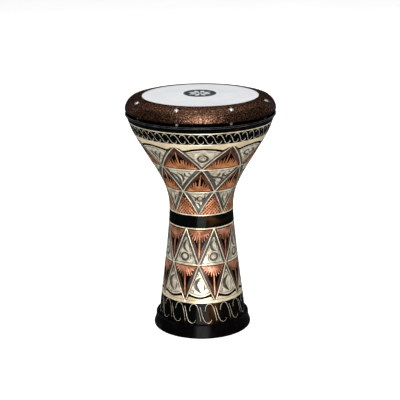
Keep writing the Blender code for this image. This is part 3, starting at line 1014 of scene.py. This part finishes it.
class Solid:
    """Collects turned and lofted surfaces into one mesh."""

    def __init__(self):
        self.vertices, self.faces, self.paint = [], [], []

    def add(self, vertices, faces, paint=0):
        first = len(self.vertices)
        self.vertices.extend(map(tuple, vertices))
        self.faces.extend([tuple(first + int(i) for i in face) for face in faces])
        self.paint.extend(paint if hasattr(paint, "__len__") else [paint] * len(faces))

    def lathe(self, rows, closed=False, steps=ROUND_STEPS, centre=(0, 0), paint=0):
        """Turn (radius, height) rows, their outside on the right. A radius may be a function."""
        angles = np.linspace(0, 2 * pi, steps, endpoint=False)
        rings = []
        for radius, height in rows:
            radii = radius(angles) if callable(radius) else np.full(steps, radius)
            rings.append(round_ring(centre, radii, angles, np.full(steps, height)))
        count = len(rings)
        pairs = [(i, (i + 1) % count) for i in range(count if closed else count - 1)]
        faces = []
        for low, high in pairs:
            for j in range(steps):
                k = (j + 1) % steps
                faces.append((low * steps + j, low * steps + k, high * steps + k, high * steps + j))
        self.add(np.vstack(rings), faces, paint)

    def loft(self, rings, paint=0):
        """Join rings of equal length, each an array of points."""
        size = len(rings[0])
        faces = []
        for i in range(len(rings) - 1):
            for j in range(size):
                k = (j + 1) % size
                faces.append((i * size + j, i * size + k, (i + 1) * size + k, (i + 1) * size + j))
        self.add(np.vstack(rings), faces, paint)

    def object(self, name, body, replaced, materials, sharp=35):
        mesh = bpy.data.meshes.new(name)
        mesh.from_pydata(self.vertices, [], self.faces)
        mesh.polygons.foreach_set("material_index", np.array(self.paint, np.int32))
        shape = bmesh.new()
        shape.from_mesh(mesh)
        bmesh.ops.remove_doubles(shape, verts=shape.verts, dist=1e-6)
        bmesh.ops.dissolve_degenerate(shape, edges=shape.edges, dist=1e-6)
        for face in shape.faces:
            face.smooth = True
        shape.to_mesh(mesh)
        shape.free()
        mesh.set_sharp_from_angle(angle=radians(sharp))
        for item in materials:
            mesh.materials.append(item)
        return new_object(name, mesh, body, replaced)


def anticlockwise(outline):
    outline = np.array(outline)
    after = np.roll(outline, -1, axis=0)
    area = (outline[:, 0] * after[:, 1] - after[:, 0] * outline[:, 1]).sum()
    return outline if area > 0 else outline[::-1]


def screw_points():
    for index in range(SCREW_COUNT):
        angle = radians(-67.5) + index * 2 * pi / SCREW_COUNT
        yield index, angle, (SCREW_CIRCLE * cos(angle), SCREW_CIRCLE * sin(angle))


def drilled_lathe(solid, outline, closed, holes, columns=24):
    """Turn an outline with round holes on the screw circle.

    A hole is (radius, lowest, highest height of the outline where it opens, rings down its wall),
    and a wall ring is (radius, height), the height taken from the surface where it is relative.
    """
    outline = np.array(outline, float)
    loop = np.vstack([outline, outline[:1]]) if closed else outline
    arc = np.concatenate([[0], np.cumsum(np.linalg.norm(np.diff(loop, axis=0), axis=1))])
    drawing = Drawing(-9, 9)
    half = pi / SCREW_COUNT
    columns_at = np.linspace(-half, half, columns + 1)
    for height in arc:
        drawing.chain(np.column_stack([columns_at, np.full(columns + 1, height)]), False)
    for u in (-half, half):
        drawing.chain(np.column_stack([np.full(len(arc), u), arc]), False)
    rims = []
    for radius, low, high, _ in holes:
        turn = np.linspace(0, 2 * pi, 48, endpoint=False)
        x, y = SCREW_CIRCLE + radius * np.cos(turn), radius * np.sin(turn)
        part = (loop[:, 1] >= low - 1e-7) & (loop[:, 1] <= high + 1e-7)
        part &= np.abs(loop[:, 0] - SCREW_CIRCLE) < 0.012
        order = np.argsort(loop[part, 0])
        along = np.interp(np.hypot(x, y), loop[part, 0][order], arc[part][order])
        rim = np.column_stack([np.arctan2(y, x), along])
        drawing.chain(rim, True)
        rims.append(rim)
    points, faces = drawing.triangles([SCREW_CIRCLE, 1.0])
    middles = points[faces].mean(1)
    keep = np.ones(len(faces), bool)
    for rim in rims:
        keep &= ~inside(middles, rim)
    faces = faces[keep]
    radius = np.interp(points[:, 1], arc, loop[:, 0])
    height = np.interp(points[:, 1], arc, loop[:, 1])
    for _, angle, centre in screw_points():
        place = round_ring((0, 0), radius, points[:, 0] + angle, height)
        solid.add(place, faces)
        for (hole, _, _, wall), rim in zip(holes, rims):
            gap = np.hypot(place[:, 0] - centre[0], place[:, 1] - centre[1])
            near_arc = (points[:, 1] > rim[:, 1].min() - 1e-5) & (points[:, 1] < rim[:, 1].max() + 1e-5)
            on = np.flatnonzero((np.abs(gap - hole) < 4e-5) & near_arc)
            turn = np.arctan2(place[on, 1] - centre[1], place[on, 0] - centre[0])
            on, turn = on[np.argsort(turn)], np.sort(turn)
            rings = [place[on]]
            for ring_radius, ring_height, relative in wall:
                level = place[on, 2] + ring_height if relative else np.full(len(on), ring_height)
                rings.append(round_ring(centre, ring_radius, turn, level))
            down = wall[-1][1] < 0 or (not wall[-1][2] and wall[-1][1] < place[on, 2].mean())
            solid.loft([ring[::-1] for ring in rings] if down else rings)


def make_casting(materials):
    """The shell's inside, flange, collar and screw bosses, in rough cast and lacquered metal."""
    solid = Solid()
    under = FLANGE_TOP - 0.0062
    flange_corner = FLANGE_TOP - 0.0026
    boss_low, boss_radius = 0.3870, 0.0058
    cast_paint, edge_highlight_paint = 1, 2
    flange = [
        (radius_at(WALL_TOP), WALL_TOP),
        (FLANGE_RADIUS, flange_corner, 0.0010),
        (FLANGE_RADIUS, FLANGE_TOP - 0.0006, 0.0006),
        (FLANGE_RADIUS - 0.0006, FLANGE_TOP, 0.0006),
        (COLLAR_OUTER + 0.0020, FLANGE_TOP, 0.0012),
        (COLLAR_OUTER, FLANGE_TOP + 0.0020, 0.0012),
        (COLLAR_OUTER, BEARING_EDGE - 0.0039),
    ]
    bore = [(HOLE_RADIUS, -0.0005, True), (HOLE_RADIUS, boss_low, False)]
    drilled_lathe(solid, rounded(flange, False), False,
                  [(0.0038, FLANGE_TOP - 1e-6, FLANGE_TOP + 1e-6, bore)])
    # Thin strips at the flange's two outer corners get the painted edge highlight, grey metal colour in
    # place of reflected light.
    for index, face in enumerate(solid.faces):
        corners = [(hypot(*solid.vertices[i][:2]), solid.vertices[i][2]) for i in face]
        radius, height = np.mean(corners, axis=0)
        from_corner = min(abs(height - FLANGE_TOP), abs(height - flange_corner))
        if radius > FLANGE_RADIUS - 0.0007 and from_corner < 0.0005:
            solid.paint[index] = edge_highlight_paint
    rest = [
        (COLLAR_OUTER, BEARING_EDGE - 0.0039),
        (COLLAR_OUTER - 0.0007, BEARING_EDGE - 0.0015, 0.0010),
        (0.1068, BEARING_EDGE, 0.0012),
        (COLLAR_INNER, BEARING_EDGE - 0.0021, 0.0012),
        (COLLAR_INNER, under, 0.0015),
        (COLLAR_INNER + 0.0020, under - 0.0020, 0.0015),
        *[(radius_at(height) - WALL, height) for height in np.linspace(0.3880, SHELL_BOTTOM, 90)],
        (radius_at(SHELL_BOTTOM), SHELL_BOTTOM),
    ]
    solid.lathe(rounded(rest, False), paint=cast_paint)
    boss = [(HOLE_RADIUS, boss_low + 0.0010), (HOLE_RADIUS, boss_low, 0.0004),
            (boss_radius, boss_low, 0.0010), (boss_radius, 0.3975)]
    for _, _, centre in screw_points():
        solid.lathe(rounded(boss, False), steps=40, centre=centre, paint=cast_paint)
    return solid.object("shell_casting", "shell", ["shell"], materials)


def make_rim(materials):
    """The tension ring: lip, screw shelf with its pockets, bulging wall and hollow underside."""
    hoop_gap = HOOP_HIGH.z + GAP
    under_lip = FILM_HIGH.z + 0.0004
    lip, edge, web_edge = LIP_RADIUS + 0.0001, 0.0026, 0.1148
    outline = [
        (lip, RIM_TOP - 0.0005, 0.0002),
        (LIP_RADIUS + 0.0006, RIM_TOP - 0.0002, 0.0004),
        (LIP_RADIUS + 0.0022, RIM_TOP, 0.0010),
        (0.1130, 0.4336, 0.0030),
        (0.1245, 0.4306, 0.0010),
        (0.1257, 0.4291, 0.0008),
        *circle(0.0239, 51, 4, 14, (0.1120, 0.4099)),
        *circle(edge, -10, -90, 7, (RIM_RADIUS - edge, RIM_LOW.z + edge)),
        (0.1298, RIM_LOW.z, 0.0005),
        (0.1280, RIM_WEB, 0.0008),
        (web_edge, RIM_WEB, 0.0004),
        (web_edge, hoop_gap, 0.0006),
        (0.1130, hoop_gap, 0.0004),
        (0.1120, 0.4250, 0.0008),
        (0.1116, 0.4320, 0.0006),
        (0.1099, under_lip, 0.0006),
        (lip, under_lip, 0.0002),
    ]
    outline = anticlockwise(rounded(outline, True))
    # The outline starts on the web's inner wall, away from the holes
    start = int(np.argmin(np.abs(outline[:, 0] - web_edge) + np.abs(outline[:, 1] - 0.4180)))
    floor, pocket, ceiling = WASHER_LOW.z - GAP, 0.0058, RIM_WEB + 0.0004
    counterbore = [(0.0061, -0.00015, True), (pocket, -0.0006, True), (pocket, floor, False),
                   (HOLE_RADIUS, floor, False), (HOLE_RADIUS, ceiling, False)]
    below = [(HOLE_RADIUS, ceiling, False)]
    solid = Solid()
    drilled_lathe(solid, np.roll(outline, -start, axis=0), True,
                  [(0.0065, 0.4270, RIM_TOP, counterbore),
                   (0.0037, RIM_WEB - 1e-5, RIM_WEB + 1e-5, below)], columns=32)
    return solid.object("rim_casting", "head", ["tension_ring"], materials, 50)


def badge_areas():
    """The printed oval, its eight petals and its eye, as (outline, paint)."""
    centre, oval = np.array((0.0, 0.0170)), np.array((1.0, 1.13))
    dark, pale = 1, 2
    petals, petal_start, petal_length, petal_width = 8, 0.0058, 0.0160, 0.0040
    areas = [(circle(0.0298, 0, 357, 120) * oval + centre, dark)]
    lengths = petal_length * np.linspace(0, 1, 13)
    widths = petal_width * np.sin(np.linspace(0, pi, 13))
    for i in range(petals):
        turn = radians(45 * i + 22.5)
        out = np.array([cos(turn), sin(turn)])
        across = np.array([-out[1], out[0]])
        edge = [out * (petal_start + l) + across * w for l, w in zip(lengths, widths)]
        back = [out * (petal_start + l) - across * w for l, w in zip(lengths, widths)][::-1][1:-1]
        areas.append((np.array(edge + back) * oval + centre, pale))
    for radius, paint in ((0.0040, pale), (0.0020, dark)):
        areas.append((circle(radius, 0, 350, 36) * oval + centre, paint))
    return areas


def make_head(materials):
    """The white film: flat disc with a printed oval, and its formed collar."""
    top, flat_radius = FILM_HIGH.z, 0.1064
    areas = badge_areas()
    drawing = Drawing(-9, 9)
    angles = np.linspace(0, 2 * pi, ROUND_STEPS, endpoint=False)
    rim = np.column_stack([flat_radius * np.cos(angles), flat_radius * np.sin(angles)])
    for line in [rim] + [outline for outline, _ in areas]:
        drawing.chain(line, True)
    for radius in (0.0400, 0.0600, 0.0800, 0.0960):
        drawing.points.extend(map(tuple, circle(radius, 0, 354, 60)))
    points, faces = drawing.triangles([1.0, 1.0])
    middles = points[faces].mean(1)
    paint = np.zeros(len(faces), int)
    for outline, colour in areas:
        paint[inside(middles, outline)] = colour
    solid = Solid()
    solid.add(np.column_stack([points, np.full(len(points), top)]), faces, paint.tolist())
    half = FILM_THICKNESS / 2
    centre_line = curve([(flat_radius, top - half), (0.1093, top - 0.0011), (0.1105, top - 0.0045),
                         (0.1110, 0.4235), (0.1124, 0.4210), (0.1124, 0.4165)], 4)
    along = np.gradient(centre_line, axis=0)
    along /= np.linalg.norm(along, axis=1)[:, None]
    side = np.column_stack([-along[:, 1], along[:, 0]]) * half
    outer, inner = centre_line + side, centre_line - side
    outer[0], inner[0] = (flat_radius, top), (flat_radius, top - FILM_THICKNESS)
    solid.lathe([*outer[::-1]])
    solid.lathe([(ON_AXIS, top - FILM_THICKNESS), *inner, outer[-1]])
    return solid.object("head_film", "head", ["drumhead_film"], materials)


def make_hoop(materials):
    outer, inner, sheet = HOOP_HIGH.x, 0.1104, 0.0008
    low, high = HOOP_LOW.z, HOOP_HIGH.z
    outline = [
        (outer - sheet, high), (outer - sheet, low + sheet), (inner + sheet, low + sheet),
        (inner + sheet, high), (inner, high), (inner, low, 0.0008), (outer, low, 0.0008), (outer, high),
    ]
    solid = Solid()
    solid.lathe(anticlockwise(rounded(outline, True, 0.0002)), closed=True)
    return solid.object("hoop", "head", ["drumhead_hoop"], materials)


def make_foot(materials):
    """The black foot ring, gripping the shell's lower edge."""
    top_inner = radius_at(FOOT_TOP) + GAP
    leg, leg_top = FOOT_RADIUS - 0.0161, 0.0120
    channel = SHELL_BOTTOM - GAP
    outline = [
        (top_inner + 0.0009, FOOT_TOP, 0.0005),
        (0.0853, FOOT_TOP, 0.0004),
        (0.0862, FOOT_TOP - 0.0009, 0.0005),
        (0.0868, 0.0130, 0.0040),
        (FOOT_RADIUS, 0.0032, 0.0020),
        (FOOT_RADIUS - 0.0004, 0.0011, 0.0008),
        (FOOT_RADIUS - 0.0015, 0.0, 0.0006),
        (leg + 0.0010, 0.0, 0.0008),
        (leg, 0.0010, 0.0008),
        (leg, leg_top, 0.0008),
        (radius_at(leg_top) - WALL - 0.0005, leg_top, 0.0004),
        (radius_at(SHELL_BOTTOM) - WALL - GAP, channel, 0.0002),
        (radius_at(SHELL_BOTTOM) + GAP, channel, 0.0002),
        (radius_at(0.0160) + 0.0004, 0.0160, 0.0020),
        (top_inner, FOOT_TOP - 0.0008, 0.0004),
    ]
    solid = Solid()
    solid.lathe(anticlockwise(rounded(outline, True, steps=5)), closed=True)
    return solid.object("foot_moulding", "shell", ["foot_ring"], materials)


def make_screw(index, centre, materials):
    """An M6 socket-head screw with a knurled head, hex socket and cut thread."""
    half_flats, ridges, ridge_depth = 0.0025, 30, 0.00014
    thread_depth, columns = 0.00055, 20

    def knurl(angles):
        return SCREW_HEAD_RADIUS - ridge_depth * (0.5 + 0.5 * np.sign(np.sin(angles * ridges)))

    def hexagon(angles):
        return half_flats / np.cos(np.mod(angles, pi / 3) - pi / 6)

    top, seat = SCREW_TOP, SCREW_SEAT
    socket_floor = top - 0.0030
    low, high = SCREW_TIP + 0.0006, seat - 0.0022
    solid = Solid()
    solid.lathe([
        (THREAD_RADIUS, high), (THREAD_RADIUS, seat), (SCREW_HEAD_RADIUS - 0.0005, seat),
        (SCREW_HEAD_RADIUS - 0.0001, seat + 0.0004), (knurl, seat + 0.0006), (knurl, top - 0.0012),
        (SCREW_HEAD_RADIUS - 0.0002, top - 0.0009), (SCREW_HEAD_RADIUS - 0.0006, top - 0.0002),
        (SCREW_HEAD_RADIUS - 0.0010, top), (half_flats / cos(pi / 6) + 0.0003, top),
        (hexagon, top - 0.0003), (hexagon, socket_floor), (ON_AXIS, socket_floor - 0.0010),
    ], steps=60, centre=centre)
    # The thread: one helix of points, its crests and roots taking turns, cut off at both ends
    rows = int((high - low) / THREAD_PITCH * 2)
    rings = []
    for i in range(rows + 3):
        crest = THREAD_RADIUS if i % 2 else THREAD_RADIUS - thread_depth
        for j in range(columns):
            angle = 2 * pi * j / columns
            height = low + (i - 2 + 2 * j / columns) * THREAD_PITCH / 2
            clamped = min(max(height, low), high)
            radius = crest if clamped == height else THREAD_RADIUS - (0.0003 if clamped == low else 0)
            rings.append((centre[0] + radius * cos(angle), centre[1] + radius * sin(angle), clamped))
    faces = []
    for i in range(rows):
        for j in range(columns):
            right = i * columns + j + 1 if j < columns - 1 else (i + 2) * columns
            faces.append((i * columns + j, right, right + columns, (i + 1) * columns + j))
    solid.add(rings, faces)
    tip = [(ON_AXIS, SCREW_TIP), (THREAD_RADIUS - 0.0011, SCREW_TIP), (THREAD_RADIUS - 0.0003, low)]
    solid.lathe(tip, steps=40, centre=centre)
    name = f"tuning_bolt_{index + 1}"
    return solid.object(f"screw_{index + 1}", f"bolt_{index + 1}", [name], materials, 30)


def make_washer(index, centre, materials):
    low, high = WASHER_LOW.z, WASHER_HIGH.z
    outline = [(HOLE_RADIUS, low), (WASHER_RADIUS, low), (WASHER_RADIUS, high), (HOLE_RADIUS, high)]
    solid = Solid()
    solid.lathe(anticlockwise(rounded(outline, True, 0.0003)), closed=True, steps=48, centre=centre)
    name = f"washer_{index + 1}"
    return solid.object(f"plain_{name}", "head", [name], materials)


# ---------------------------------------------------------------- studio


def make_camera():
    """Slightly from the left and 16 degrees above the horizon."""
    distance, turn, elevation = 2.14, radians(-2.9), radians(16.3)
    target = Vector((0, 0, 0.2375))
    back = Vector((sin(turn) * cos(elevation), -cos(turn) * cos(elevation), sin(elevation)))
    camera = bpy.data.cameras.new("camera")
    camera.lens = 104.9
    obj = linked("camera", camera)
    aim = back.to_track_quat("Z", "Y").to_matrix()
    sway = Matrix.Rotation(radians(0.063), 3, "Y") @ Matrix.Rotation(radians(-0.54), 3, "Z")
    obj.matrix_world = Matrix.Translation(target + back * distance) @ (aim @ sway).to_4x4()
    bpy.context.scene.camera = obj


def soft_light(name, place, aim, size, power, colour=(1, 1, 1)):
    light = bpy.data.lights.new(name, "AREA")
    light.shape = "RECTANGLE"
    light.size, light.size_y = size
    light.energy = power
    light.color = colour
    obj = linked(name, light)
    obj.visible_camera = False
    back = Vector(place) - Vector(aim)
    obj.matrix_world = Matrix.Translation(place) @ back.to_track_quat("Z", "Y").to_matrix().to_4x4()


def make_studio():
    mesh = bpy.data.meshes.new("floor")
    shape = bmesh.new()
    bmesh.ops.create_circle(shape, cap_ends=True, segments=96, radius=12)
    shape.to_mesh(mesh)
    shape.free()
    floor = linked("floor", mesh)
    glow = {"Roughness": 0.7, "Emission Color": (1, 1, 1, 1), "Emission Strength": 0.45}
    mesh.materials.append(material("pale studio floor", glow, floor_nodes))
    floor.visible_glossy = False
    # The world is white to the camera, and dim to the light that the drum mirrors or scatters
    world = bpy.data.worlds.new("studio")
    world.use_nodes = True
    tree = world.node_tree
    seen = tree.nodes["Background"].outputs[0]
    tree.nodes["Background"].inputs["Color"].default_value = (1, 1, 1, 1)
    path = node(tree, "LightPath").outputs
    fill = node(tree, "Background", {"Color": (0.92, 0.95, 1.0, 1), "Strength": 0.12}).outputs[0]
    mirrored_sky = node(tree, "Background", {"Color": (0.80, 0.90, 1.0, 1), "Strength": 0.07}).outputs[0]
    unseen = node(tree, "MixShader", {0: path["Is Glossy Ray"], 1: fill, 2: mirrored_sky}).outputs[0]
    both = node(tree, "MixShader", {0: path["Is Camera Ray"], 1: unseen, 2: seen}).outputs[0]
    tree.links.new(both, tree.nodes["World Output"].inputs["Surface"])
    bpy.context.scene.world = world
    bpy.context.scene.view_settings.view_transform = "Standard"
    middle = (0, 0, 0.25)
    sun = bpy.data.lights.new("key", "SUN")
    sun.energy = 1.7
    sun.angle = radians(50)
    towards_sun = Vector((-0.10, -0.76, 1.0))
    linked("key", sun).matrix_world = towards_sun.to_track_quat("Z", "Y").to_matrix().to_4x4()
    soft_light("front", (-0.12, -2.66, 0.65), (0, 0, 0.65), (1.4, 3.7), 146, (1.0, 0.98, 1.0))
    soft_light("overhead", (0, 1.2, 3.2), middle, (4.0, 4.0), 84)
    for name, side in (("left", -2.1), ("right", 2.1)):
        soft_light(name, (side, 2.0, 0.9), middle, (1.8, 2.2), 12, (0.74, 0.91, 1.0))


def main():
    lacquer = material("black lacquer over aluminium", {"Specular IOR Level": 0.04}, lacquer_nodes)
    wall = [
        lacquer,
        material("fresh chisel cut", {"Metallic": 0.45}, cut_nodes),
        material("dressed bare aluminium", {"Metallic": 0.55}, field_nodes),
        material("rubbed copper plating", {"Metallic": 0.60}, copper_nodes),
        material("dark copper under lacquer", {"Metallic": 0.30}, brown_nodes),
        material("patinated gouge", {"Metallic": 0.35}, gouge_nodes),
        material("turned bare band", {"Metallic": 0.45}, band_nodes),
    ]
    cast = material("sand cast aluminium", {"Metallic": 0.75}, cast_nodes)
    # Painted highlight for the flange's rounded edges, in grey metal colour.
    rubbed = material("lacquer with painted edge highlight", {"Metallic": 0.60}, edge_highlight_nodes)
    hammertone = material("copper hammertone paint",
                          {"Metallic": 0.90, "Specular Tint": (0.25, 0.24, 0.24, 1)}, hammertone_nodes)
    plastic = material("moulded black rubber", {"Specular IOR Level": 0.04}, foot_nodes)
    film = [
        material("white drumhead film", {"Specular IOR Level": 0.45}, film_nodes),
        material("dark printed ink", {"Specular IOR Level": 0.15},
                 ink((0.013, 0.018, 0.023), (0.028, 0.036, 0.044))),
        material("pale printed ink", {"Specular IOR Level": 0.30},
                 ink((0.50, 0.51, 0.52), (0.60, 0.60, 0.61))),
    ]
    aluminium = material("folded aluminium", {"Metallic": 1.0},
                         metal((0.60, 0.61, 0.62), (0.78, 0.79, 0.80), *TURNED))
    zinc = material("zinc plated steel", {"Metallic": 0.80},
                    metal((0.50, 0.51, 0.52), (0.72, 0.73, 0.75), *PLATED))
    steel = material("plain steel washer", {"Metallic": 1.0},
                     metal((0.42, 0.42, 0.43), (0.62, 0.62, 0.63), *TURNED))

    for unit in range(UNITS):
        engraved_stave(unit, wall)
    make_casting([lacquer, cast, rubbed])
    make_foot([plastic])
    make_rim([hammertone])
    make_head(film)
    make_hoop([aluminium])
    for index, _, centre in screw_points():
        make_screw(index, centre, [zinc])
        make_washer(index, centre, [steel])
    make_camera()
    make_studio()


main()
